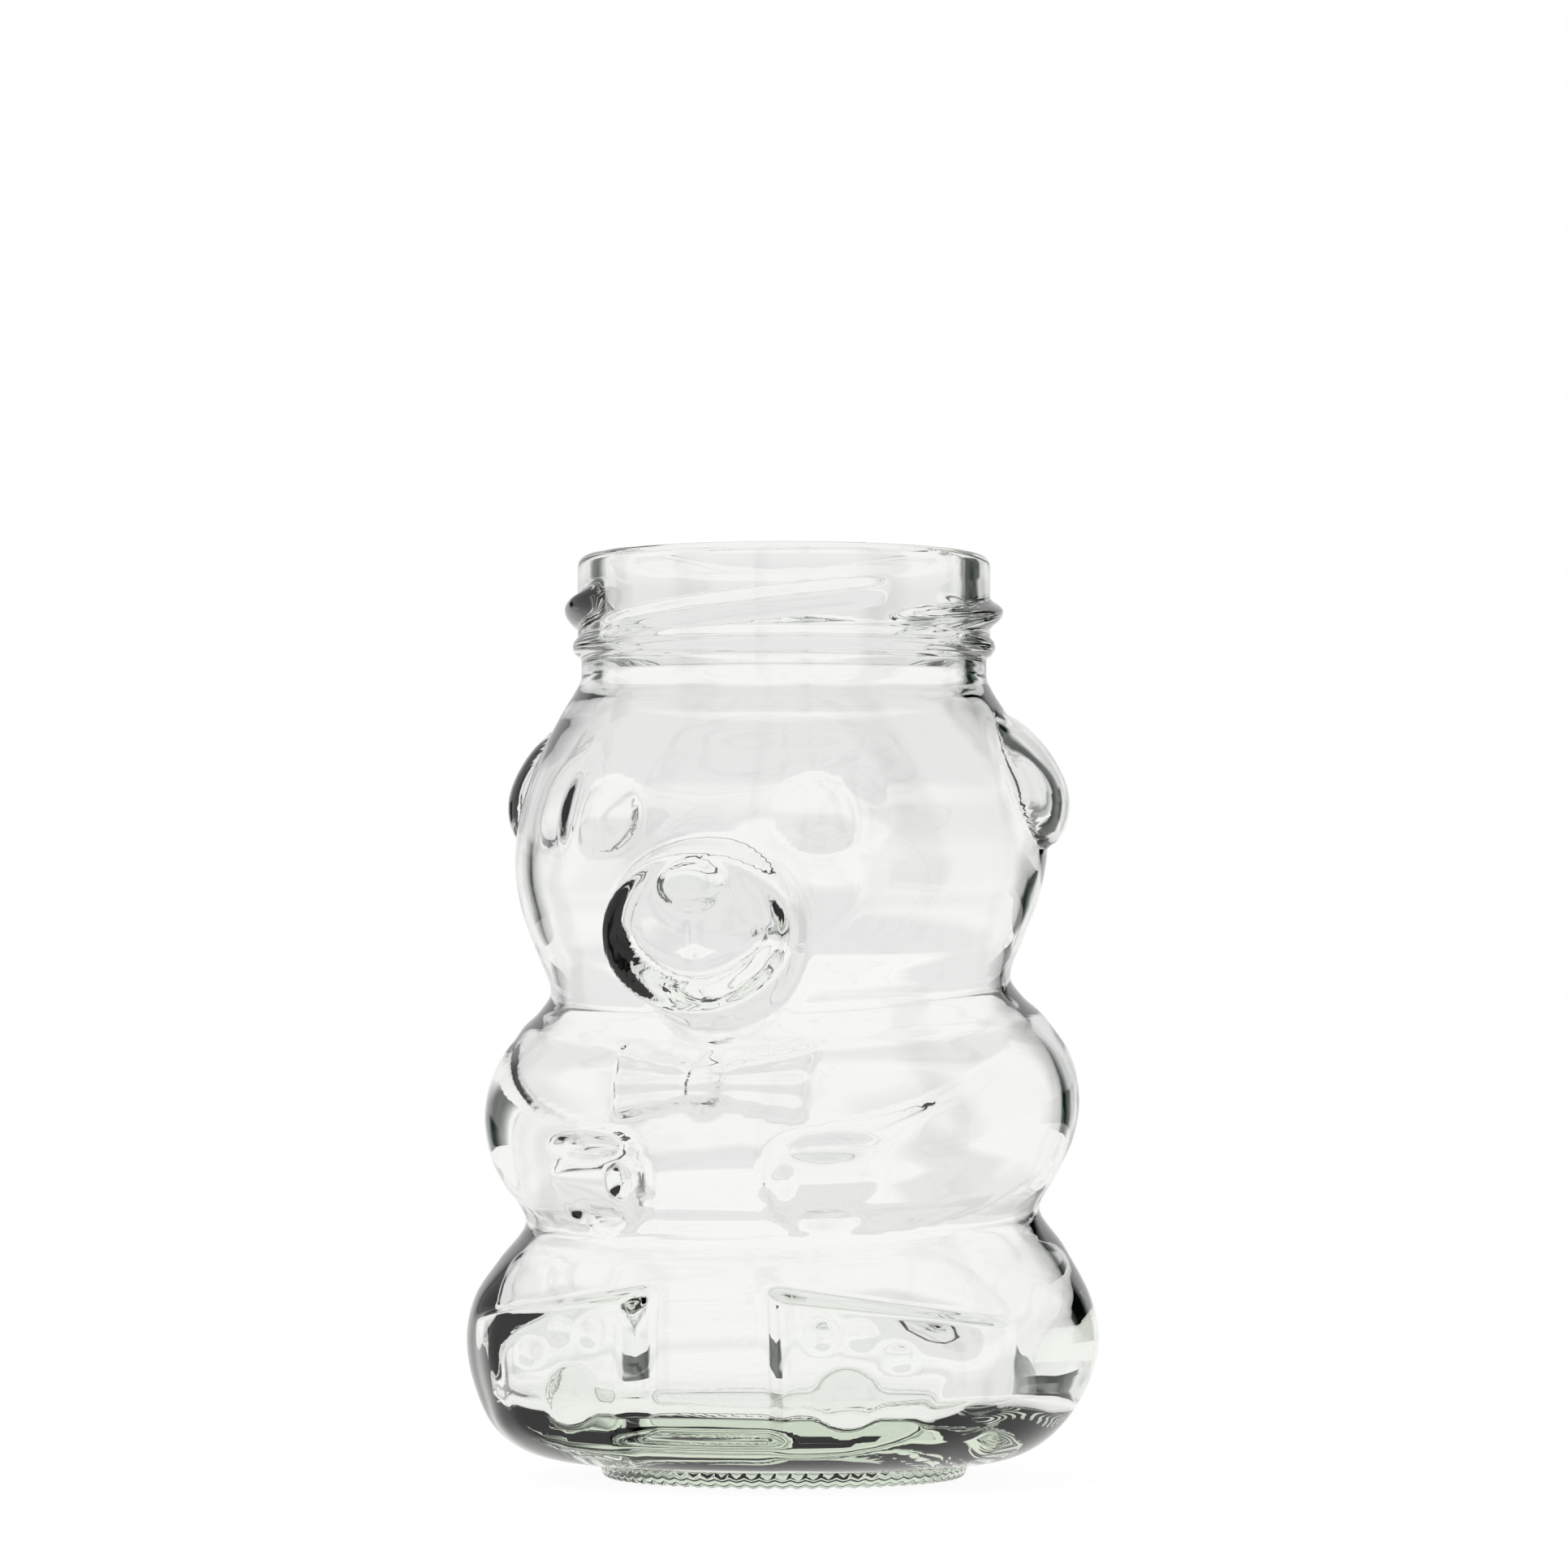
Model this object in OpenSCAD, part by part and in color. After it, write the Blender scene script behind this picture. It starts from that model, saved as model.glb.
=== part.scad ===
// Honey bear jar
// Clear glass jar in the shape of a sitting bear, with a lug finish and an open mouth.
// Origin at the middle of the standing ring, +Z up, the bear faces -Y.

/* [Finish] */
// Height of the finish above the neck plane
finish_h = 16.1; // [10:0.1:24]
// Outside diameter of the plain finish wall
finish_d = 53.6; // [40:0.1:80]
// Diameter over the lug threads
thread_d = 57; // [42:0.1:84]
// Diameter over the transfer bead
bead_d = 54.9; // [41:0.1:82]
// Height of the bead middle above the neck plane
bead_z = 4.2; // [3:0.1:6]
// Outside diameter of the neck
neck_d = 52.6; // [38:0.1:78]
// Diameter of the mouth
bore_d = 47.2; // [34:0.1:72]
// Number of lug threads
lug_n = 4; // [3:1:6]
// Angle that one lug thread runs over
lug_sweep = 93; // [40:1:110]
// Climb of one lug thread
lug_rise = 4.8; // [2:0.1:7]
// Height of the middle of the lug threads above the neck plane
lug_z = 8.2; // [6:0.1:12]

/* [Body] */
// Height of the neck plane above the standing plane
neck_z = 103.5; // [80:0.5:160]
// Width of the head without the ears
head_w = 69.2; // [50:0.2:100]
// Height of the widest part of the head
head_z = 81; // [70:0.5:120]
// Width of the throat
throat_w = 59.8; // [45:0.2:90]
// Height of the throat
throat_z = 64.3; // [55:0.1:90]
// Width over the chest and arms
chest_w = 77.2; // [55:0.2:110]
// Height of the widest part of the chest
chest_z = 48.5; // [40:0.5:70]
// Width of the waist
waist_w = 67.2; // [45:0.2:100]
// Height of the waist
waist_z = 34.2; // [28:0.1:50]
// Width over the hips
hip_w = 82.8; // [60:0.2:120]
// Height of the widest part of the hips
hip_z = 18; // [14:0.5:26]
// Depth of the chest and hips as a share of the width
depth_share = 0.89; // [0.75:0.01:1]
// How much lower the waist and the throat sit in front than at the sides
stoop = 4; // [0:0.5:5]
// Glass wall of the body
wall = 2; // [1.6:0.1:4]
// Height of the inside floor at its middle
floor_z = 8.8; // [6:0.1:14]

/* [Head] */
// How far the ears stand out
ear_out = 3.8; // [2:0.1:8]
// Half height of an ear
ear_r = 8.6; // [5:0.1:12]
// Angle of the ears from the front
ear_a = 93; // [80:1:110]
// Height of the ears
ear_z = 90.1; // [80:0.5:94]
// Angle of the eyes from the front
eye_a = 23.6; // [18:0.2:32]
// Height of the eyes
eye_z = 84.7; // [80:0.2:92]
// Radius of an eye
eye_r = 4.8; // [3:0.1:7]
// Distance from the axis to the muzzle face
muzzle_d = 38.6; // [34:0.1:44]
// Height of the muzzle middle
muzzle_z = 70; // [66:0.5:76]
// Half height of the muzzle
muzzle_r = 12.3; // [8:0.1:14]
// How far the nose stands out from the muzzle
nose_out = 2.8; // [1:0.1:4]

/* [Bow tie and arms] */
// Height of the bow tie
tie_z = 51.4; // [46:0.2:56]
// How far the bow tie stands out
tie_out = 1.5; // [0.5:0.1:2.5]
// Height of the paws
paw_z = 39.3; // [35:0.2:44]
// How far the arms stand out
arm_out = 2.2; // [1:0.1:4]

/* [Legs] */
// How far the legs stand out of the hips in front
leg_out = 1.6; // [0:0.1:3]
// Distance from the axis to the flat soles
sole_d = 36.8; // [33:0.1:42]
// Radius of the belly between the legs
belly_r = 30.8; // [27:0.1:35]
// Height of the upper edge of the soles
sole_top = 24.6; // [20:0.2:30]

/* [Foot] */
// Diameter of the foot plate
foot_d = 47.6; // [36:0.2:70]
// Height of the foot plate
foot_h = 2.4; // [1.8:0.1:4]
// Rounding of the foot edge
foot_round = 1.2; // [0.4:0.1:1.2]
// Inner diameter of the standing ring
ring_d = 39; // [28:0.5:56]
// Rise of the push-up under the foot
push_up = 1.2; // [0.4:0.1:1.4]
// Number of knurls on the standing ring
knurl_n = 76; // [40:1:100]

/* [Hidden] */
$fn = 64;

finish_r = finish_d / 2;
bead_r = bead_d / 2;
neck_r = neck_d / 2;
bore_r = bore_d / 2;
crest_r = thread_d / 2;
foot_r = foot_d / 2;
rim_z = neck_z + finish_h;
rim_round = 1.5;
mouth_round = 1;

glass = [0.82, 0.9, 0.86, 0.55];

// Smooth step from 0 at a to 1 at b
function ss(x, a, b) = let (t = min(1, max(0, (x - a) / (b - a)))) t * t * (3 - 2 * t);

function mix(a, b, t) = a + (b - a) * t;

function between(p, q, f, g) = [mix(p[0], q[0], f), mix(p[1], q[1], g)];

// Rounded bump of height 1 over an ellipse, steeper at its edge for a lower power
function dome(u, v, p) = let (d = u * u + v * v) d < 1 ? pow(1 - d, p) : 0;

// Side outline of the body, from hips to neck
hip = [hip_z, hip_w / 2];
waist = [waist_z, waist_w / 2];
chest = [chest_z, chest_w / 2];
throat = [throat_z, throat_w / 2];
head = [head_z, head_w / 2];
neck = [neck_z, neck_r + 0.1];
outline = [
    hip,
    between(hip, waist, 0.35, 0.15),
    between(hip, waist, 0.68, 0.56),
    waist,
    between(chest, waist, 0.68, 0.56),
    between(chest, waist, 0.35, 0.15),
    chest,
    between(chest, throat, 0.35, 0.13),
    between(chest, throat, 0.68, 0.53),
    between(chest, throat, 0.81, 0.79),
    throat,
    between(head, throat, 0.68, 0.6),
    between(head, throat, 0.35, 0.18),
    head,
    between(head, neck, 0.29, 0.075),
    between(head, neck, 0.55, 0.34),
    between(head, neck, 0.78, 0.66),
    neck
];
last = len(outline) - 1;

function slope(i) =
    i == 0 ? 0 :
    i == last ? -0.3 :
    (outline[i + 1][1] - outline[i - 1][1]) / (outline[i + 1][0] - outline[i - 1][0]);

function span(z, i = 0) = (i >= last - 1 || z < outline[i + 1][0]) ? i : span(z, i + 1);

function smooth_w(z) =
    let (
        i = span(z),
        p = outline[i],
        q = outline[i + 1],
        h = q[0] - p[0],
        t = min(1, (z - p[0]) / h)
    )
    p[1] * (1 + 2 * t) * pow(1 - t, 2) + slope(i) * h * t * pow(1 - t, 2)
    + q[1] * t * t * (3 - 2 * t) + slope(i + 1) * h * t * t * (t - 1);

heel_r = foot_r + 1.3;

// The heel, fuller in front than behind
function heel_w(z, s) =
    let (
        down = min(1, max(0, (hip_z - z) / (hip_z - foot_h))),
        back = ss(s, 65, 105)
    )
    heel_r + (hip_w / 2 - heel_r) * pow(1 - pow(down, 1.9 - 0.3 * back), 0.34 + 0.1 * back);

// Half width of the plain body at height z and angle s from the front
function half_w(z, s) =
    z < hip_z ? heel_w(z, s) :
    smooth_w(z + stoop * cos(s) * ss(z, 22, 32) * (1 - ss(z, 70, 84)));

// Depth as a share of width at height z
function share(z) =
    z < throat_z
    ? mix(1, depth_share, ss(z, foot_h, 12)) + 0.04 * ss(z, chest_z + 4, throat_z)
    : mix(depth_share + 0.04, 1, ss(z, throat_z, neck_z));

// How far the hips and the cheeks stand forward of the axis at height z
function forward(z) = 1.1 * ss(z, 2, 8) * (1 - ss(z, 34, 46)) + 2 * ss(z, 52, 64) * (1 - ss(z, 76, 90));

function plain_r(s, w, d, f) = 1 / sqrt(pow(sin(s) / w, 2) + pow(cos(s) / d, 2)) + f * cos(s);

// Legs with flat soles, and the belly set back between and above them
function leg_r(s, z, b, d) =
    let (
        set_in = ss(z, 6.2, 7.8) * (1 - ss(z, 32, 36)) * (1 - ss(s, 46, 64)),
        core = b - max(0, d - belly_r) * set_in,
        top = sole_top - (s - 14) * 0.08,
        side = 17 + max(0, sole_top - z) * 0.1,
        on = ss(s, 12.8, side) * (1 - ss(z, top - 0.1, top + 1.6)),
        bulge = b + leg_out * (1 - ss(s, 46, 62)) * ss(z, foot_h, 9),
        sole = sole_d / cos(min(s, 60) - 20)
    )
    mix(core, min(bulge, sole), on);

function pads(s, z) =
    0.75 * dome((s - 24.3) / 2.9, (z - 20.1) / 1.95, 0.7)
    + 0.75 * dome((s - 31.7) / 2.9, (z - 20.1) / 1.95, 0.7)
    + 0.75 * dome((s - 38.6) / 2.9, (z - 17.4) / 1.95, 0.7)
    + 1.1 * dome((s - 29) / 5.6, (z - 12) / 3.7, 0.6);

// Arm from the shoulder round to the paw, with notches round the paw
function arm(s, z) =
    let (
        t = (z - paw_z - 0.0027 * pow(max(0, s - 17), 2)) / (5.8 + max(0, s - 17) * 0.06),
        u = max(0, 19 - s) / 6.5
    )
    arm_out * dome(u, t, 0.5) * (1 - ss(s, 50, 84))
    + 1 * dome((s - 23) / 11, (z - paw_z) / 3.6, 0.7)
    - 2.8 * dome((s - 26) / 8.8, (z - paw_z - 3.3 - s * 0.035) / 1.7, 0.8)
    - 2.8 * dome((s - 26.5) / 7.4, (z - paw_z + 4.7) / 1.5, 0.8)
    - 1.8 * dome((s - 17) / 1.9, (z - paw_z) / 2.2, 0.8);

function bow_tie(s, z) =
    let (
        t = abs(z - tie_z) / (2.4 + max(0, s - 4) * 0.13),
        end = 21.6 + (z - tie_z) * 0.4,
        fold = 0.45 * dome(0, (t - 0.35) / 0.3, 1)
    )
    (tie_out - fold) * (1 - ss(t, 0.84, 1.06)) * (1 - ss(s, end - 0.8, end + 1))
    + 1.9 * dome(s / 4.1, (z - tie_z) / 4, 0.6);

function eyes(s, z) =
    1.5 * dome((s - eye_a) / (eye_r * 1.92), (z - eye_z) / eye_r, 0.8)
    + 0.3 * dome((s - eye_a) / 4.3, (z - eye_z - 0.2) / 2.45, 1);

function ears(s, z) = ear_out * dome((s - ear_a) / (ear_r * 1.86), (z - ear_z) / ear_r, 0.55);

function muzzle(s, z, r) =
    let (d = norm([s / 22.6, (z - muzzle_z) / muzzle_r]))
    (1 - ss(d, 0.77, 1.03)) * (muzzle_d / cos(min(s, 60) * 0.75) - r);

function nose(s, z) = nose_out * dome(s / 6.6, (z - muzzle_z - 6.2) / 3.2, 1);

// Smile with a pit at each end, and the short line above it
function mouth_line(s, z) =
    let (v = (z - muzzle_z + 4.9 - 4.6 * pow(s / 13, 2)) / 1.2)
    (0.25 * dome(0, v / 1.3 + 1.7, 1) - 0.9 * dome(0, v, 1.3)) * (1 - ss(s, 12, 13.8))
    - 1.2 * dome((s - 12.8) / 1.8, (z - muzzle_z + 0.3) / 1.2, 1)
    - 0.45 * dome(s / 2.4, (z - muzzle_z - 0.3) / 3, 1);

function face_r(s, z, r) = r + muzzle(s, z, r) + nose(s, z) + mouth_line(s, z) + eyes(s, z) + ears(s, z);

// Outside radius of the body at angle a from the front and height z
function body_r(a, z) =
    let (
        s = abs(a) > 180 ? 360 - abs(a) : abs(a),
        w = half_w(z, s),
        d = w * share(z),
        b = plain_r(s, w, d, forward(z))
    )
    z < 30 ? leg_r(s, z, b, d) + (s < 50 ? pads(s, z) : 0) :
    z < 56.5 ? leg_r(s, z, b, d) + (s < 90 ? arm(s, z) + bow_tie(s, z) : 0) :
    face_r(s, z, b);

// Inside radius, kept at least a wall away from the outside all round
function inner_r(a, z) =
    z > neck_z - 1 ? bore_r :
    let (
        near = min([
            for (da = [-4, 0, 4])
            for (dz = [-2, 0, 2])
            body_r(a + da, min(neck_z, max(foot_h + 4, z + dz)))
        ]),
        extra = 0.8 * ss(z, 90, neck_z) + 1 * (1 - ss(z, 9, 20))
    )
    near - wall - extra;

// Columns stand closer together round the front
function half_a(i) =
    i <= 19 ? i * 2.55 :
    i <= 33 ? 48.45 + (i - 19) * 4.2 :
    107.25 + (i - 33) * 72.75 / 7;

cols = 80;

function col_a(k) = let (i = k - 40) sign(i) * half_a(abs(i));

// Rows of the outside as bands of first height, last height and number of steps
bands = [
    [7, sole_top - 0.6, 8],
    [sole_top - 0.6, sole_top + 2, 2],
    [sole_top + 2, 47, 9],
    [47, 57, 6],
    [57, 83, 13],
    [83, 98, 6],
    [98, neck_z, 3]
];
outer_z = concat(
    [for (i = [0:4]) mix(foot_h, 7, pow(i / 5, 1.8))],
    [for (b = bands) for (i = [0:b[2] - 1]) mix(b[0], b[1], i / b[2])],
    [neck_z]
);
inner_n = 16;
inner_z = [for (i = [0:inner_n - 1]) mix(neck_z, 13, i / (inner_n - 1))];

// Rows dip with the upper edge of the soles
function dip(s, z) = 0.08 * min(45, max(0, s - 14)) * dome(0, (z - sole_top) / 14, 1.5);

function ring_at(z, inside) = [
    for (k = [0:cols - 1])
    let (
        a = col_a(k),
        h = inside ? z : z - dip(abs(a), z),
        r = inside ? inner_r(a, h) : body_r(a, h)
    )
    [r * sin(a), -r * cos(a), h]
];

function flat_r(p) = norm([p[0], p[1]]);

function scaled_ring(ring, f, z) = [for (p = ring) [p[0] * f, p[1] * f, z]];

module bear_body() {
    outside = [for (z = outer_z) ring_at(z, false)];
    inside = [for (z = inner_z) ring_at(z, true)];
    low = inside[inner_n - 1];
    rings = concat(
        outside,
        inside,
        [scaled_ring(low, 0.96, 10.6), scaled_ring(low, 0.88, 9.1)]
    );
    n = len(rings);
    points = concat([for (r = rings) each r], [[0, 0, floor_z], [0, 0, foot_h]]);
    walls = [
        for (j = [0:n - 2])
        for (k = [0:cols - 1])
        let (
            a = j * cols + k,
            b = j * cols + (k + 1) % cols,
            c = a + cols,
            d = b + cols,
            down = abs(flat_r(points[a]) - flat_r(points[d])),
            up = abs(flat_r(points[b]) - flat_r(points[c]))
        )
        each down < up ? [[a, c, d], [a, d, b]] : [[a, c, b], [b, c, d]]
    ];
    floor_in = [for (k = [0:cols - 1]) [(n - 1) * cols + k, n * cols, (n - 1) * cols + (k + 1) % cols]];
    under = [for (k = [0:cols - 1]) [k, (k + 1) % cols, n * cols + 1]];
    color(glass) polyhedron(points = points, faces = concat(walls, floor_in, under), convexity = 12);
}

// Section through the finish wall
module finish_section() {
    translate([bore_r, neck_z]) square([neck_r - bore_r, finish_h - rim_round]);
    translate([bore_r, neck_z + bead_z]) square([finish_r - bore_r, finish_h - bead_z - rim_round]);
    translate([bead_r - 1.35, neck_z + bead_z]) circle(r = 1.35);
    translate([bore_r + mouth_round, neck_z]) square([finish_r - bore_r - mouth_round - rim_round, finish_h]);
    translate([finish_r - rim_round, rim_z - rim_round]) circle(r = rim_round);
    translate([bore_r + mouth_round, rim_z - mouth_round]) circle(r = mouth_round);
    translate([bore_r, neck_z]) square([neck_r - bore_r - 1, finish_h - mouth_round]);
}

// One lug thread, low at its left end and running out to nothing at both ends
module lug() {
    steps = 24;
    root = finish_r - 0.2;
    sections = [
        for (i = [0:steps])
        let (
            t = i / steps,
            a = (t - 0.5) * lug_sweep,
            z = neck_z + lug_z + (t - 0.5) * lug_rise,
            k = ss(t, -0.02, 0.16) * (1 - ss(t, 0.8, 1.02)),
            out = 0.05 + (crest_r - root) * k
        )
        [
            [root - 1, z - 0.3 - 1.5 * k, a],
            [root, z - 0.3 - 1.5 * k, a],
            [root + out * 0.75, z - 0.1 - 0.7 * k, a],
            [root + out, z, a],
            [root + out * 0.8, z + 0.1 + 0.3 * k, a],
            [root, z + 0.3 + 1 * k, a],
            [root - 1, z + 0.3 + 1 * k, a]
        ]
    ];
    points = [for (s = sections) for (p = s) [p[0] * sin(p[2]), -p[0] * cos(p[2]), p[1]]];
    m = 7;
    sides = [
        for (i = [0:steps - 1])
        for (k = [0:m - 1])
        let (a = i * m + k, b = i * m + (k + 1) % m)
        each [[a, b, a + m], [b, b + m, a + m]]
    ];
    first_cap = [for (k = [1:m - 2]) [0, k + 1, k]];
    last_cap = [for (k = [1:m - 2]) [steps * m, steps * m + k, steps * m + k + 1]];
    polyhedron(points = points, faces = concat(sides, first_cap, last_cap), convexity = 6);
}

module finish() {
    color(glass) {
        rotate_extrude() finish_section();
        for (i = [0:lug_n - 1]) rotate([0, 0, 3 + i * 360 / lug_n]) lug();
    }
}

// Section through the foot plate, hollowed below by the push-up
module foot_section() {
    dome_r = (pow(ring_d / 2, 2) + pow(push_up, 2)) / (2 * push_up);
    difference() {
        union() {
            square([foot_r - foot_round, foot_h]);
            translate([0, foot_round]) square([foot_r, foot_h - foot_round]);
            translate([foot_r - foot_round, foot_round]) circle(r = foot_round);
        }
        translate([0, push_up - dome_r]) circle(r = dome_r, $fn = 720);
    }
}

module base() {
    knurl_len = foot_r - ring_d / 2;
    color(glass) difference() {
        rotate_extrude() foot_section();
        for (i = [0:knurl_n - 1])
            rotate([0, 0, i * 360 / knurl_n])
            translate([ring_d / 2 + 0.5, 0, -0.4])
            rotate([0, 90, 0]) cylinder(r = 0.75, h = knurl_len, $fn = 24);
    }
}

finish();
bear_body();
base();
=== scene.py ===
# %% [markdown]
# # Honey bear jar
# The real jar is one piece of clear container glass. A gob of melt is blown in a mould that
# has the bear cut into it, so the outside is crisp and the inside only follows it softly.
# This lesson spins one section into a jar and then moves its points by a few formulas, which
# is close to what the mould does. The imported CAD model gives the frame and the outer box.

# %% Load the frame
import math

import bmesh
import bpy
import numpy as np
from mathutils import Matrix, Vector


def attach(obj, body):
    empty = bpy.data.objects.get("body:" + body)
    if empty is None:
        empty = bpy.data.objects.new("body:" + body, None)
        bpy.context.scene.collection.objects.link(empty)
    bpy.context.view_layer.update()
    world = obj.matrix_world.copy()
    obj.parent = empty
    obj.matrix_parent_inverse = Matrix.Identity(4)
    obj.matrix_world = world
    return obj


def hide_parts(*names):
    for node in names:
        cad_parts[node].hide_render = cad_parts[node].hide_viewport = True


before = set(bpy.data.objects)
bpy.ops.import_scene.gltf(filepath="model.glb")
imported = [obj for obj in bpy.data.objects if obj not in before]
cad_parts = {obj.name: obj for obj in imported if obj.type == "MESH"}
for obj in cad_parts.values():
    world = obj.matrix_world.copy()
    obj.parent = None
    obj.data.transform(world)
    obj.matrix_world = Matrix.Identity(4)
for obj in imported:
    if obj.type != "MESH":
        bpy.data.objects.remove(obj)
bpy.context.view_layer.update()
MM = 0.001

# %% [markdown]
# ## Sizes
# All sizes are in millimetres and are the same as in the CAD source: the height comes first,
# then the half width there. The finish on top is a 58 mm lug finish for twist-off caps.

# %% Sizes of the jar
NECK_Z, RIM_Z = 103.5, 119.6
FINISH_R, BEAD_R, NECK_R, BORE_R, CREST_R = 26.8, 27.45, 26.3, 23.6, 28.5
HIP, WAIST, CHEST = (18.0, 41.4), (34.2, 33.6), (48.5, 38.6)
THROAT, HEAD, NECK = (64.3, 29.9), (81.0, 34.6), (NECK_Z, NECK_R + 0.1)
FOOT_R, FOOT_H, FOOT_ROUND, RING_R, PUSH_UP = 23.8, 2.4, 1.2, 19.5, 1.2
KNURLS = 76
DEPTH_SHARE = 0.89
WALL, FLOOR_Z = 2.0, 8.8
SOLE_TOP, PAW_Z, TIE_Z, MUZZLE_Z = 24.6, 39.3, 51.4, 70.0
STOOP = 4.0
print("rim", RIM_Z, "mm high, hips", 2 * HIP[1], "mm wide")

# %% [markdown]
# ## Small helpers
# A smooth step turns a relief on and off without a crease. A dome is a rounded bump over an
# ellipse, and a lower power makes its edge steeper. Both take whole arrays of points at once.


# %% Helpers for relief
def step(x, a, b):
    t = np.clip((x - a) / (b - a), 0, 1)
    return t * t * (3 - 2 * t)


def dome(u, v, power):
    return np.maximum(0, 1 - u * u - v * v) ** power


def mix(a, b, t):
    return a + (b - a) * t


print("dome at its middle and edge:", dome(np.array([0.0, 1.0]), 0.0, 0.7))


# %% [markdown]
# ## The plain bottle
# Seen from the front the bottle is three bulges: head, chest and hips. The outline goes
# through the widest and narrowest places, with two stations between each pair that make
# the bulges round and the valleys tight, as blown glass has them. A smooth curve joins them.

# %% Outline of the body
def between(p, q, along, drop):
    return (mix(p[0], q[0], along), mix(p[1], q[1], drop))


OUTLINE = np.array([
    HIP, between(HIP, WAIST, 0.35, 0.15), between(HIP, WAIST, 0.68, 0.56),
    WAIST, between(CHEST, WAIST, 0.68, 0.56), between(CHEST, WAIST, 0.35, 0.15),
    CHEST, between(CHEST, THROAT, 0.35, 0.13), between(CHEST, THROAT, 0.68, 0.53),
    between(CHEST, THROAT, 0.81, 0.79), THROAT,
    between(HEAD, THROAT, 0.68, 0.6), between(HEAD, THROAT, 0.35, 0.18),
    HEAD, between(HEAD, NECK, 0.29, 0.075), between(HEAD, NECK, 0.55, 0.34),
    between(HEAD, NECK, 0.78, 0.66), NECK,
])
SLOPES = np.zeros(len(OUTLINE))
SLOPES[1:-1] = (OUTLINE[2:, 1] - OUTLINE[:-2, 1]) / (OUTLINE[2:, 0] - OUTLINE[:-2, 0])
SLOPES[-1] = -0.3


def half_width(z, s):
    z = z + STOOP * np.cos(np.radians(s)) * step(z, 22, 32) * (1 - step(z, 70, 84))
    i = np.clip(np.searchsorted(OUTLINE[:, 0], z, side="right") - 1, 0, len(OUTLINE) - 2)
    h = OUTLINE[i + 1, 0] - OUTLINE[i, 0]
    t = np.clip((z - OUTLINE[i, 0]) / h, 0, 1)
    bulge = (
        OUTLINE[i, 1] * (1 + 2 * t) * (1 - t) ** 2 + SLOPES[i] * h * t * (1 - t) ** 2
        + OUTLINE[i + 1, 1] * t * t * (3 - 2 * t) + SLOPES[i + 1] * h * t * t * (t - 1)
    )
    down = np.clip((HIP[0] - z) / (HIP[0] - FOOT_H), 0, 1)
    back = step(s, 65, 105)
    heel_r = FOOT_R + 1.3
    heel = heel_r + (HIP[1] - heel_r) * (1 - down ** (1.9 - 0.3 * back)) ** (0.34 + 0.1 * back)
    return np.where(z >= HIP[0], bulge, heel)


def depth_share(z):
    low = mix(1, DEPTH_SHARE, step(z, FOOT_H, 12)) + 0.04 * step(z, CHEST[0] + 4, THROAT[0])
    high = mix(DEPTH_SHARE + 0.04, 1, step(z, THROAT[0], NECK_Z))
    return np.where(z < THROAT[0], low, high)


def forward(z):
    hips = 1.1 * step(z, 2, 8) * (1 - step(z, 34, 46))
    return hips + 2.0 * step(z, 52, 64) * (1 - step(z, 76, 90))


print("half widths:", half_width(np.array([10.0, 25.0, 40.0, 60.0, 90.0]), 90.0).round(1))


# %% [markdown]
# ## The bear
# Each feature is a height added to the plain radius, at an angle s from the front and a
# height z. The same angle counts left and right, because the mould is the same on both
# sides. The muzzle and the soles are true flats, so they set the radius instead.

# %% Legs and soles
def legs(s, z, b, d, detail):
    set_in = step(z, 6.2, 7.8) * (1 - step(z, 32, 36)) * (1 - step(s, 46, 64))
    core = b - np.maximum(0, d - 30.8) * set_in
    top = SOLE_TOP - (s - 14) * 0.08
    side = 17 + np.maximum(0, SOLE_TOP - z) * 0.1
    on = mix(np.clip((s - 13) / 37, 0, 1), step(s, 12.8, side), detail)
    on = on * (1 - step(z, top - 0.1, top + 1.6))
    bulge = b + 1.6 * (1 - step(s, 46, 62)) * step(z, FOOT_H, 9)
    sole = 36.8 / np.cos(np.radians(np.minimum(s, 60) - 20))
    return mix(core, np.minimum(bulge, sole), on)


def pads(s, z):
    toes = sum(
        0.75 * dome((s - at) / 2.9, (z - high) / 1.95, 0.7)
        for at, high in ((24.3, 20.1), (31.7, 20.1), (38.6, 17.4))
    )
    return toes + 1.1 * dome((s - 29) / 5.6, (z - 12) / 3.7, 0.6)


print("pad heights:", pads(np.array([24.3, 29.0]), np.array([20.1, 12.0])).round(2))


# %% Arms, paws and bow tie
def arms(s, z):
    middle = PAW_Z + 0.0027 * np.maximum(0, s - 17) ** 2
    t = (z - middle) / (5.8 + np.maximum(0, s - 17) * 0.06)
    u = np.maximum(0, 19 - s) / 6.5
    return (
        2.2 * dome(u, t, 0.5) * (1 - step(s, 50, 84))
        + 1.0 * dome((s - 23) / 11, (z - PAW_Z) / 3.6, 0.7)
        - 2.8 * dome((s - 26) / 8.8, (z - PAW_Z - 3.3 - s * 0.035) / 1.7, 0.8)
        - 2.8 * dome((s - 26.5) / 7.4, (z - PAW_Z + 4.7) / 1.5, 0.8)
        - 1.8 * dome((s - 17) / 1.9, (z - PAW_Z) / 2.2, 0.8)
    )


def bow_tie(s, z):
    t = np.abs(z - TIE_Z) / (2.4 + np.maximum(0, s - 4) * 0.13)
    end = 21.6 + (z - TIE_Z) * 0.4
    wing = (1 - step(t, 0.84, 1.06)) * (1 - step(s, end - 0.8, end + 1.0))
    fold = 0.45 * dome(0, (t - 0.35) / 0.3, 1)
    return (1.5 - fold) * wing + 1.9 * dome(s / 4.1, (z - TIE_Z) / 4, 0.6)


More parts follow.
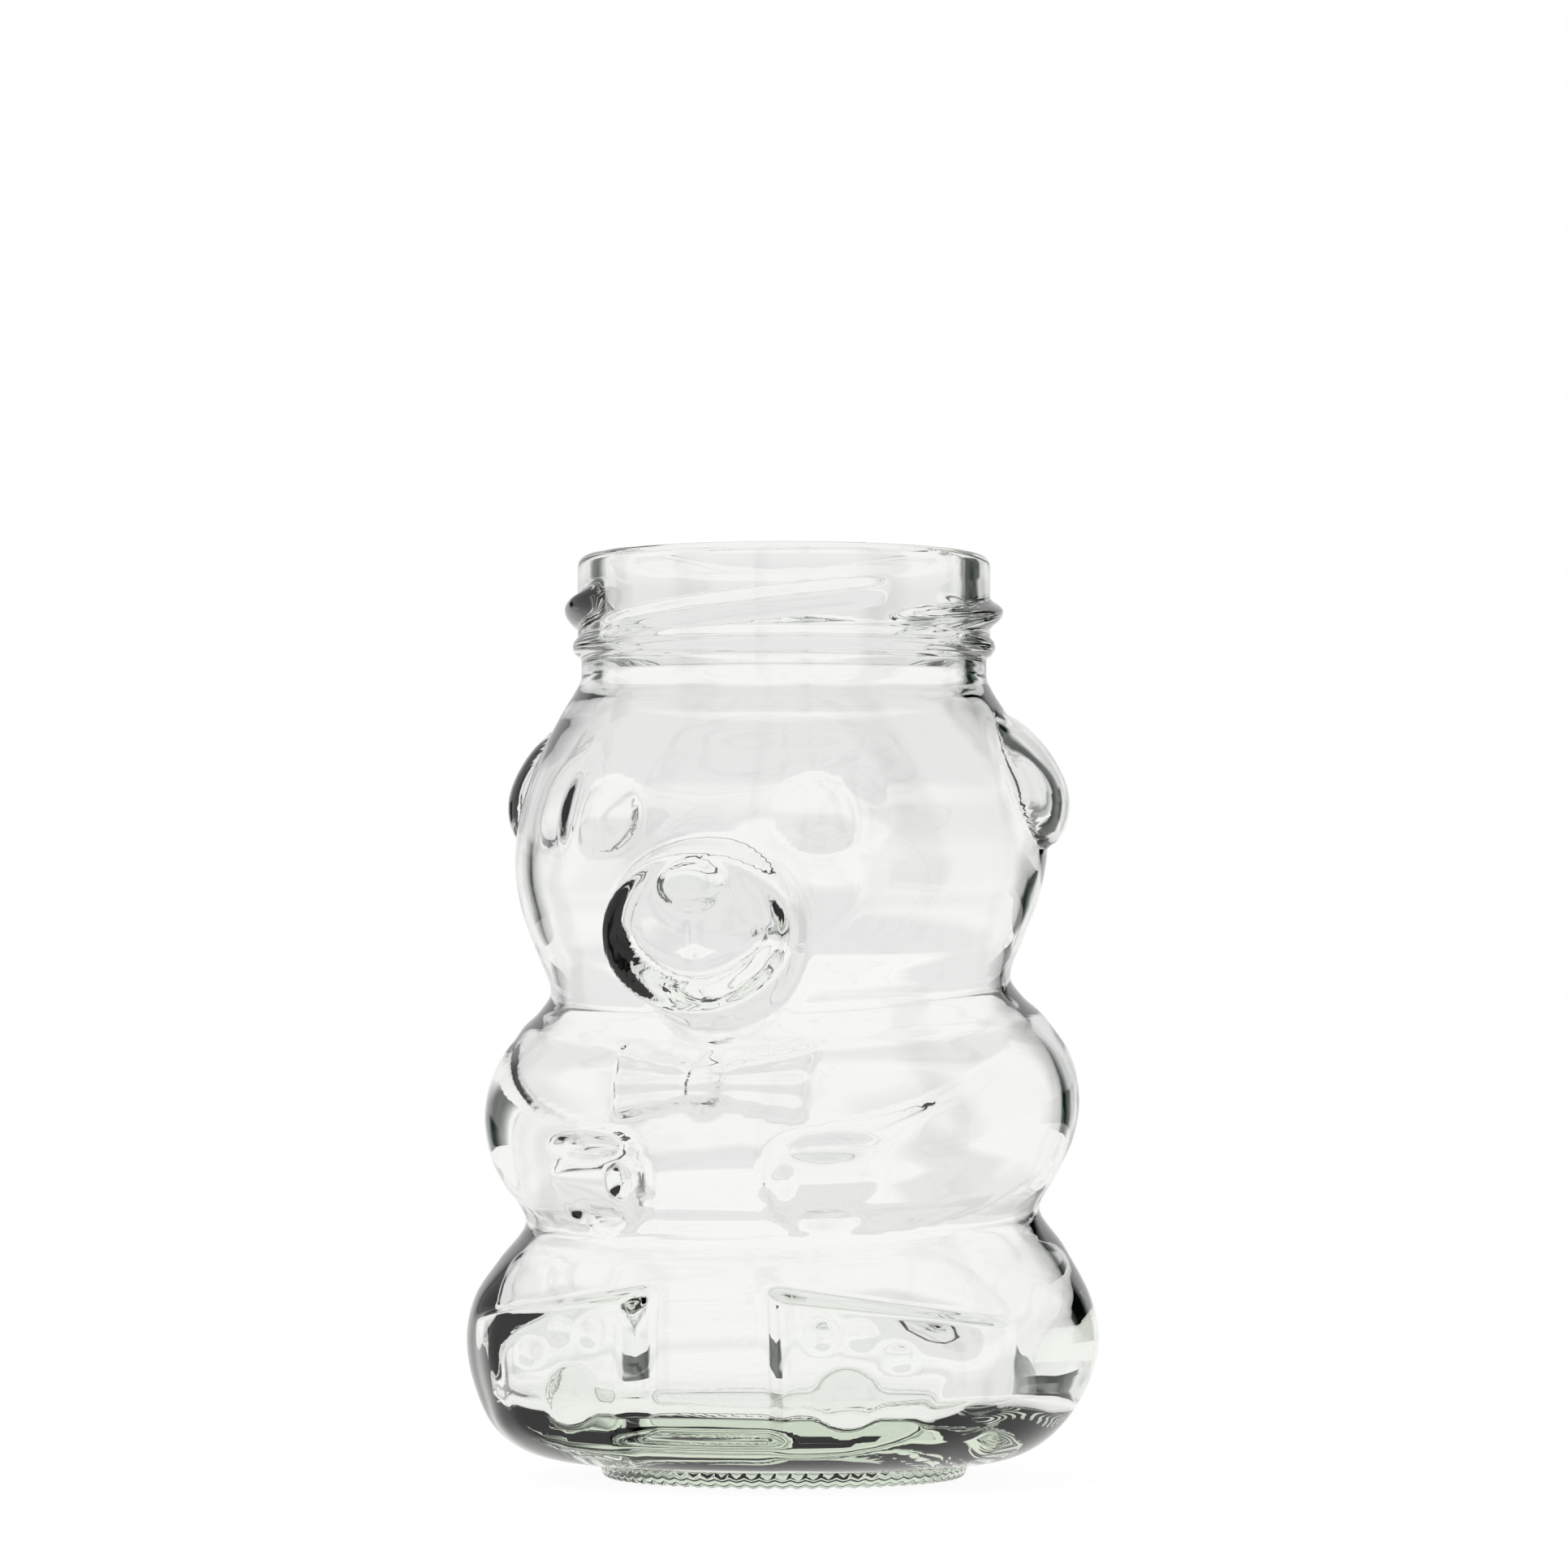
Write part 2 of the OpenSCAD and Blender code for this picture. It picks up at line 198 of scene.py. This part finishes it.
# %% Eyes, ears, muzzle, nose and smile
def eyes(s, z):
    return (
        1.6 * dome((s - 23.6) / 9.2, (z - 84.7) / 4.8, 0.7)
        + 0.2 * dome((s - 23.6) / 4.6, (z - 84.9) / 2.5, 1)
        - 0.9 * dome((s - 34.2) / 4.8, (z - 85.6) / 5.2, 1)
    )


def ears(s, z):
    return 3.8 * dome((s - 93) / 16.0, (z - 90.1) / 8.6, 0.55)


def muzzle(s, z, r):
    d = np.sqrt((s / 22.6) ** 2 + ((z - MUZZLE_Z) / 12.3) ** 2)
    return (1 - step(d, 0.77, 1.03)) * (38.6 / np.cos(np.radians(np.minimum(s, 60) * 0.75)) - r)


def nose(s, z):
    d = np.sqrt((s / 7.6) ** 2 + ((z - MUZZLE_Z - 6.0) / 3.5) ** 2)
    return 2.8 * (1 - step(d, 0.5, 1.0))


def smile(s, z):
    v = (z - MUZZLE_Z + 4.9 - 4.6 * (s / 13) ** 2) / 1.2
    line = 1.2 * dome(0, v, 1.0) - 0.3 * dome(0, v / 1.3 + 1.7, 1)
    pit = 1.2 * dome((s - 12.8) / 1.8, (z - MUZZLE_Z + 0.3) / 1.2, 1)
    cleft = 0.5 * dome(s / 1.5, (z - MUZZLE_Z - 0.1) / 4.4, 0.8)
    return -line * (1 - step(s, 12, 13.8)) - pit - cleft


def outside(a, z, detail=1.0):
    s = np.abs((a + 180) % 360 - 180)
    w = half_width(z, s)
    d = w * depth_share(z)
    sine, cosine = np.sin(np.radians(s)), np.cos(np.radians(s))
    b = 1 / np.sqrt((sine / w) ** 2 + (cosine / d) ** 2) + forward(z) * cosine
    upper = arms(s, z) * mix(0.35, 1, detail) + detail * bow_tie(s, z)
    low = legs(s, z, b, d, detail) + np.where(z < 30, detail * pads(s, z), upper)
    high = b + muzzle(s, z, b) + ears(s, z) + detail * (nose(s, z) + smile(s, z) + eyes(s, z))
    return np.where(z < 56.5, low, high)


print("nose tip, mm from the axis:", float(outside(np.array([0.0]), np.array([76.5]))[0]))


# %% [markdown]
# ## The inside
# Blown glass doesn't follow each detail on its inner side. The inside is found as the
# nearest point of the outside all round, less a wall, and is then smoothed. The wall is
# thicker towards the neck and the base.

# %% Inner surface
COLUMNS = KNURLS * 4
COLUMN_A = np.arange(COLUMNS) * 360 / COLUMNS
INNER_Z = np.linspace(102.5, 13.0, 71)
outer_field = outside(COLUMN_A[None, :], INNER_Z[:, None])
soft_field = outside(COLUMN_A[None, :], INNER_Z[:, None], detail=0.0)
side = np.abs((COLUMN_A + 180) % 360 - 180)
wall_field = (
    (WALL + 0.8 * step(INNER_Z, 90, NECK_Z) + 1.3 * (1 - step(INNER_Z, 14, 32)))[:, None]
    + 1.5 * (1 - step(INNER_Z, 17, 25))[:, None]
    * (step(side, 50, 80) * (1 - step(side, 98, 125)))[None, :]
)


def shifted(field, down, across):
    return np.roll(field[np.clip(np.arange(len(field)) + down, 0, len(field) - 1)], across, axis=1)


inner_field = soft_field - wall_field
for down in range(-2, 3):
    for across in range(-4, 5):
        away = (down * 1.29) ** 2 + (across * 0.75) ** 2
        ball = np.sqrt(np.maximum(0, wall_field ** 2 - away))
        near = np.where(away < wall_field ** 2, shifted(soft_field, down, across) - ball, 99)
        inner_field = np.minimum(inner_field, near)
inner_field = np.minimum(inner_field, outer_field - WALL + 0.5)
for _ in range(4):
    inner_field = np.mean(
        [shifted(inner_field, i, j) for i in (-1, 0, 1) for j in (-1, 0, 1)], axis=0,
    )
from_lump = (COLUMN_A - 12 + 180) % 360 - 180
inner_field -= 2.6 * dome(from_lump[None, :] / 22, (INNER_Z[:, None] - 76) / 7, 1)
inner_field = mix(inner_field, BORE_R, step(INNER_Z, 99, 103.4)[:, None])
print("thinnest wall, mm:", round(float(np.min(outer_field - inner_field)), 2))


# %% [markdown]
# ## The finish
# The lug finish is made by the neck ring. It has four separate threads, each a quarter turn
# long, which run out to nothing at both ends, and a bead below them. It is added to the
# straight wall in the same way as the bear's features.

# %% Lug threads and knurls
def lugs(a, z):
    part = ((a - 3 + 46.5) % 90) / 93
    t = np.clip(part, 0, 1)
    height = step(t, -0.02, 0.16) * (1 - step(t, 0.8, 1.0))
    middle = NECK_Z + 8.2 + (t - 0.5) * 4.8
    v = (z - middle) / np.where(z > middle, 1.5, 2.1)
    return (CREST_R - FINISH_R) * height * dome(0, v, 1.1)


def knurls(a, r):
    ring = step(r, RING_R + 0.2, RING_R + 0.9) * (1 - step(r, FOOT_R, FOOT_R + 0.4))
    return 0.35 * ring * (0.5 + 0.5 * np.cos(np.radians(a * KNURLS))) ** 1.5


# %% [markdown]
# ## Section and spin
# The section runs from the middle of the underside, round the foot, up the outside, over
# the rim and down the inside to the floor. Spin turns it into a closed jar, with four
# columns to each knurl. A number on each point remembers its row, so that the formulas
# know what it belongs to.

# %% Section of the jar
rows = []


def add_rows(kind, points):
    rows.extend((kind, r, z) for r, z in points)
    print(kind, len(points), "rows")


def arc(r, z, radius, start, end, count):
    turn = np.radians(np.linspace(start, end, count))
    return [(r + radius * math.cos(t), z + radius * math.sin(t)) for t in turn]


add_rows("foot", [(RING_R * t, PUSH_UP * (1 - t * t)) for t in np.linspace(0, 1, 7)])
add_rows("foot", [(r, 0.0) for r in (20.1, 20.7, 21.5, 22.3)])
add_rows("foot", arc(FOOT_R - FOOT_ROUND, FOOT_ROUND, FOOT_ROUND, -90, 0, 5))
add_rows("foot", [(FOOT_R, 1.8), (FOOT_R, 2.3), (FOOT_R + 0.5, FOOT_H)])
heel_z = FOOT_H + (7 - FOOT_H) * np.linspace(0.01, 1, 13)[:-1] ** 1.8
body_z = np.concatenate([
    heel_z, np.linspace(7, 24, 26)[:-1], np.linspace(24, 28, 10)[:-1],
    np.linspace(28, 56.5, 46)[:-1], np.linspace(56.5, 84, 48)[:-1], np.linspace(84, 103.3, 27),
])
add_rows("body", [(30.0, z) for z in body_z])
add_rows("finish", [(NECK_R, z) for z in np.linspace(103.8, 105.8, 5)])
add_rows("finish", [(NECK_R + 0.12, 106.25)] + arc(BEAD_R - 1.35, 107.7, 1.35, -60, 60, 8))
add_rows("finish", [(FINISH_R, z) for z in np.linspace(109.2, 118.0, 26)])
add_rows("rim", arc(FINISH_R - 1.5, RIM_Z - 1.5, 1.5, 0, 90, 7))
add_rows("rim", arc(BORE_R + 1.0, RIM_Z - 1.0, 1.0, 90, 180, 6))
add_rows("rim", [(BORE_R, z) for z in (116, 112, 108, 105, 103.5)])
add_rows("inner", [(i, z) for i, z in enumerate(INNER_Z)])
add_rows("corner", [(t, 0.0) for t in np.linspace(0, 90, 9)[1:]])
add_rows("floor", [(t, 0.0) for t in (0.8, 0.6, 0.4, 0.2, 0.0)])

# %% Spin the section
bm = bmesh.new()
row_of = bm.verts.layers.int.new("row")
section = []
for i, (kind, r, z) in enumerate(rows):
    on_axis = i == 0 or i == len(rows) - 1
    vert = bm.verts.new((0.0, 0.0 if on_axis else -(10 + i * 0.01), float(i)))
    vert[row_of] = i
    section.append(vert)
edges = [bm.edges.new(pair) for pair in zip(section, section[1:])]
bmesh.ops.spin(
    bm, geom=section + edges, axis=(0, 0, 1), cent=(0, 0, 0),
    angle=2 * math.pi, steps=COLUMNS, use_merge=True, use_duplicate=False,
)
bmesh.ops.remove_doubles(bm, verts=bm.verts, dist=1e-5)
print("spun:", len(bm.verts), "points and", len(bm.faces), "faces")

# %% Move the points to the bear's shape
bm.verts.ensure_lookup_table()
row = np.array([v[row_of] for v in bm.verts])
spun = np.array([v.co[:] for v in bm.verts])
angle = np.degrees(np.arctan2(spun[:, 0], -spun[:, 1]))
kinds = np.array([k for k, r, z in rows])[row]
radius = np.array([r for k, r, z in rows])[row]
height = np.array([z for k, r, z in rows])[row]

on = kinds == "foot"
height[on] += knurls(angle[on], radius[on])

on = kinds == "body"
s = np.abs(angle[on])
height[on] -= (
    0.08 * np.clip(s - 14, 0, 45) * dome(0, (height[on] - SOLE_TOP) / 14, 1.5)
)
radius[on] = outside(angle[on], height[on])

on = kinds == "finish"
radius[on] += np.where(height[on] > 108.6, lugs(angle[on], height[on]), 0)

column = np.round(angle * COLUMNS / 360).astype(int) % COLUMNS
on = kinds == "inner"
radius[on] = inner_field[radius[on].astype(int), column[on]]
low_r = inner_field[-1][column]
on = kinds == "corner"
turn = np.radians(radius[on])
height[on] = INNER_Z[-1] - (INNER_Z[-1] - 9.0) * np.sin(turn)
radius[on] = low_r[on] * mix(0.84, 1, np.cos(turn))
on = kinds == "floor"
share = radius[on]
height[on] = mix(FLOOR_Z, 9.0, share ** 2)
radius[on] = low_r[on] * 0.84 * share

x = radius * np.sin(np.radians(angle)) * MM
y = -radius * np.cos(np.radians(angle)) * MM
axis_rows = (row == 0) | (row == len(rows) - 1)
x[axis_rows] = y[axis_rows] = 0
for vert, px, py, pz in zip(bm.verts, x, y, height * MM):
    vert.co = (px, py, pz)
bmesh.ops.recalc_face_normals(bm, faces=bm.faces)
volume = bm.calc_volume(signed=True)
print("glass:", round(volume * 1e6, 1), "ml, so", round(volume * 1e6 * 2.5), "g")

# %% Make the piece
mesh = bpy.data.meshes.new("jar_glass")
bm.to_mesh(mesh)
bm.free()
mesh.shade_smooth()
jar = bpy.data.objects.new("jar_glass", mesh)
bpy.context.collection.objects.link(jar)
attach(jar, "root")
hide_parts("finish", "bear_body", "base")
print("triangles:", sum(len(p.vertices) - 2 for p in mesh.polygons))


# %% [markdown]
# ## Glass
# The jar is soda-lime container glass, cooled in a steel mould and fire-polished by its own
# heat. Its surface is glossy, with faint waves from the mould. Traces of iron in the sand
# tint it green, which shows only where light runs a long way inside: at the base, the
# edges and the thick corners.

# %% Colours and node helper
def srgb(code):
    values = [int(code[i:i + 2], 16) / 255 for i in (1, 3, 5)]
    linear = [v / 12.92 if v <= 0.04045 else ((v + 0.055) / 1.055) ** 2.4 for v in values]
    return (*linear, 1.0)


def node(tree, kind, links=None, **settings):
    made = tree.nodes.new(kind)
    for key, value in settings.items():
        if key.startswith("in_"):
            made.inputs[key[3:].replace("_", " ")].default_value = value
        else:
            setattr(made, key, value)
    for socket, source in (links or {}).items():
        tree.links.new(source, made.inputs[socket])
    return made


# %% Soda-lime container glass
glass = bpy.data.materials.new("soda_lime_container_glass")
glass.use_nodes = True
tree = glass.node_tree
tree.nodes.clear()
coords = node(tree, "ShaderNodeTexCoord")
WAVE_MM = 9.0
waves = node(
    tree, "ShaderNodeTexNoise", {"Vector": coords.outputs["Object"]},
    in_Scale=1000 / WAVE_MM, in_Detail=1.5, in_Roughness=0.4,
)
bump = node(
    tree, "ShaderNodeBump", {"Height": waves.outputs["Fac"]},
    in_Strength=0.25, in_Distance=0.0002,
)
surface = node(
    tree, "ShaderNodeBsdfGlass", {"Normal": bump.outputs["Normal"]},
    in_Color=srgb("#ffffff"), in_Roughness=0.0, in_IOR=1.52,
)
clear = node(tree, "ShaderNodeBsdfTransparent", in_Color=srgb("#e6ece8"))
path = node(tree, "ShaderNodeLightPath")
shadow_mix = node(
    tree, "ShaderNodeMixShader",
    {0: path.outputs["Is Shadow Ray"], 1: surface.outputs[0], 2: clear.outputs[0]},
)
tint = node(tree, "ShaderNodeVolumeAbsorption", in_Color=srgb("#b9d9a2"), in_Density=9.0)
node(
    tree, "ShaderNodeOutputMaterial",
    {"Surface": shadow_mix.outputs[0], "Volume": tint.outputs[0]},
)
jar.data.materials.append(glass)
print("wave scale:", WAVE_MM, "mm")

# %% [markdown]
# ## Floor
# The jar stands on a white sheet. The camera and the glass see it as white, with a little of
# the real shading mixed in, so that the contact shadow stays.

# %% White floor sheet
bm = bmesh.new()
bmesh.ops.create_grid(bm, x_segments=1, y_segments=1, size=0.4)
bmesh.ops.translate(bm, verts=bm.verts, vec=(0, 0, -0.0002))
mesh = bpy.data.meshes.new("floor")
bm.to_mesh(mesh)
bm.free()
floor = bpy.data.objects.new("floor", mesh)
bpy.context.collection.objects.link(floor)

sheet = bpy.data.materials.new("white_paper_sheet")
sheet.use_nodes = True
tree = sheet.node_tree
tree.nodes.clear()
path = node(tree, "ShaderNodeLightPath")
seen = node(
    tree, "ShaderNodeMath",
    {0: path.outputs["Is Camera Ray"], 1: path.outputs["Is Transmission Ray"]}, operation="ADD",
)
seen = node(
    tree, "ShaderNodeMath",
    {0: seen.outputs[0], 1: path.outputs["Is Glossy Ray"]}, operation="ADD", use_clamp=True,
)
part = node(tree, "ShaderNodeMath", {0: seen.outputs[0]}, operation="MULTIPLY")
part.inputs[1].default_value = 0.9
paper = node(tree, "ShaderNodeBsdfDiffuse", in_Color=srgb("#fafaf8"))
tone = node(tree, "ShaderNodeMix", {0: path.outputs["Is Camera Ray"]}, data_type="RGBA")
tone.inputs[6].default_value = srgb("#f6f5f4")
tone.inputs[7].default_value = srgb("#ffffff")
white = node(tree, "ShaderNodeEmission", {"Color": tone.outputs[2]}, in_Strength=1.0)
look = node(
    tree, "ShaderNodeMixShader",
    {0: part.outputs[0], 1: paper.outputs[0], 2: white.outputs[0]},
)
node(tree, "ShaderNodeOutputMaterial", {"Surface": look.outputs[0]})
floor.data.materials.append(sheet)
print("floor:", [round(v, 2) for v in floor.dimensions], "m")

# %% [markdown]
# ## Light
# Clear glass is drawn by its dark edges. A studio puts it in front of a bright field and
# stands dark cards beside it, out of view, which the curved edges of the glass pick up.
# Here the world is the bright field, a little greyer above the jar than below, with soft
# dark cards on the four diagonals. Two soft boxes light the floor sheet and are kept out of the
# glass's reflections.

# %% World
world = bpy.data.worlds.new("studio")
bpy.context.scene.world = world
world.use_nodes = True
tree = world.node_tree
tree.nodes.clear()
CAMERA_TURN = math.radians(17)
CARD, CARD_EDGE = 0.1, 0.3
way = node(tree, "ShaderNodeTexCoord")
split = node(tree, "ShaderNodeSeparateXYZ", {0: way.outputs["Generated"]})
bearing = node(
    tree, "ShaderNodeMath", {0: split.outputs["X"], 1: split.outputs["Y"]}, operation="ARCTAN2",
)
fourfold = node(tree, "ShaderNodeMath", {0: bearing.outputs[0]}, operation="MULTIPLY_ADD")
fourfold.inputs[1].default_value = 4.5
fourfold.inputs[2].default_value = 4.5 * CAMERA_TURN
cosine = node(tree, "ShaderNodeMath", {0: fourfold.outputs[0]}, operation="COSINE")
swing = node(tree, "ShaderNodeMath", {0: cosine.outputs[0]}, operation="MULTIPLY_ADD")
swing.inputs[1].default_value = swing.inputs[2].default_value = 0.5
lateral = node(tree, "ShaderNodeVectorMath", {0: way.outputs["Generated"]}, operation="DOT_PRODUCT")
lateral.inputs[1].default_value = (-0.14 * math.cos(CAMERA_TURN), -0.14 * math.sin(CAMERA_TURN), 0)
swing = node(
    tree, "ShaderNodeMath", {0: swing.outputs[0], 1: lateral.outputs["Value"]}, operation="ADD",
)
above = node(tree, "ShaderNodeMapRange", {0: split.outputs["Z"]}, interpolation_type="SMOOTHSTEP")
above.inputs[1].default_value, above.inputs[2].default_value = 0.05, 0.085
above.inputs[3].default_value, above.inputs[4].default_value = 0.0, 0.14
swing = node(
    tree, "ShaderNodeMath", {0: swing.outputs[0], 1: above.outputs[0]}, operation="ADD",
)
cards = node(tree, "ShaderNodeValToRGB", {0: swing.outputs[0]})
cards.color_ramp.elements[0].position = CARD
cards.color_ramp.elements[0].color = srgb("#12241b")
cards.color_ramp.elements[1].position = CARD_EDGE
cards.color_ramp.elements[1].color = srgb("#ffffff")
rise = node(tree, "ShaderNodeValToRGB", {0: split.outputs["Z"]})
rise.color_ramp.elements[0].position = 0.0
rise.color_ramp.elements[0].color = srgb("#fafaf8")
rise.color_ramp.elements[1].position = 0.07
rise.color_ramp.elements[1].color = srgb("#e8e8e8")
backdrop = node(tree, "ShaderNodeMix", data_type="RGBA", blend_type="MULTIPLY")
backdrop.inputs[0].default_value = 1.0
tree.links.new(rise.outputs["Color"], backdrop.inputs[6])
tree.links.new(cards.outputs["Color"], backdrop.inputs[7])
path = node(tree, "ShaderNodeLightPath")
see = node(
    tree, "ShaderNodeMath",
    {0: path.outputs["Is Glossy Ray"], 1: path.outputs["Is Transmission Ray"]}, operation="MAXIMUM",
)
field = node(tree, "ShaderNodeMix", {0: see.outputs[0]}, data_type="RGBA")
tree.links.new(backdrop.outputs[2], field.inputs[7])
field.inputs[6].default_value = srgb("#ececec")
seen = node(tree, "ShaderNodeMix", {0: path.outputs["Is Camera Ray"]}, data_type="RGBA")
tree.links.new(field.outputs[2], seen.inputs[6])
seen.inputs[7].default_value = (1, 1, 1, 1)
sky = node(tree, "ShaderNodeBackground", {"Color": seen.outputs[2]}, in_Strength=1.0)
node(tree, "ShaderNodeOutputWorld", {"Surface": sky.outputs[0]})


# %% Soft boxes
def soft_box(name, azimuth, height, distance, size, watts):
    lamp = bpy.data.objects.new(name, bpy.data.lights.new(name, "AREA"))
    bpy.context.collection.objects.link(lamp)
    lamp.data.shape, lamp.data.size, lamp.data.energy = "SQUARE", size, watts
    turn = CAMERA_TURN + math.radians(azimuth)
    lamp.location = (distance * math.sin(turn), -distance * math.cos(turn), height)
    aim = Vector((0, 0, 0.06)) - lamp.location
    lamp.rotation_euler = aim.to_track_quat("-Z", "Y").to_euler()
    lamp.visible_glossy = lamp.visible_transmission = False
    print(name, "at", [round(v, 2) for v in lamp.location])


soft_box("key_box", -50, 0.75, 0.8, 0.5, 7)
soft_box("fill_box", 60, 0.5, 0.9, 0.4, 4)

# %% Camera
CAMERA_DISTANCE, CAMERA_Z = 0.79, 0.0595
camera = bpy.data.objects.new("camera", bpy.data.cameras.new("camera"))
bpy.context.collection.objects.link(camera)
camera.location = (
    CAMERA_DISTANCE * math.sin(CAMERA_TURN), -CAMERA_DISTANCE * math.cos(CAMERA_TURN), CAMERA_Z,
)
camera.rotation_euler = (math.radians(90), 0, CAMERA_TURN)
camera.data.lens = 139.5
camera.data.sensor_width = 36
camera.data.shift_y = 0.1496
bpy.context.scene.camera = camera
bpy.context.scene.view_settings.view_transform = "Standard"
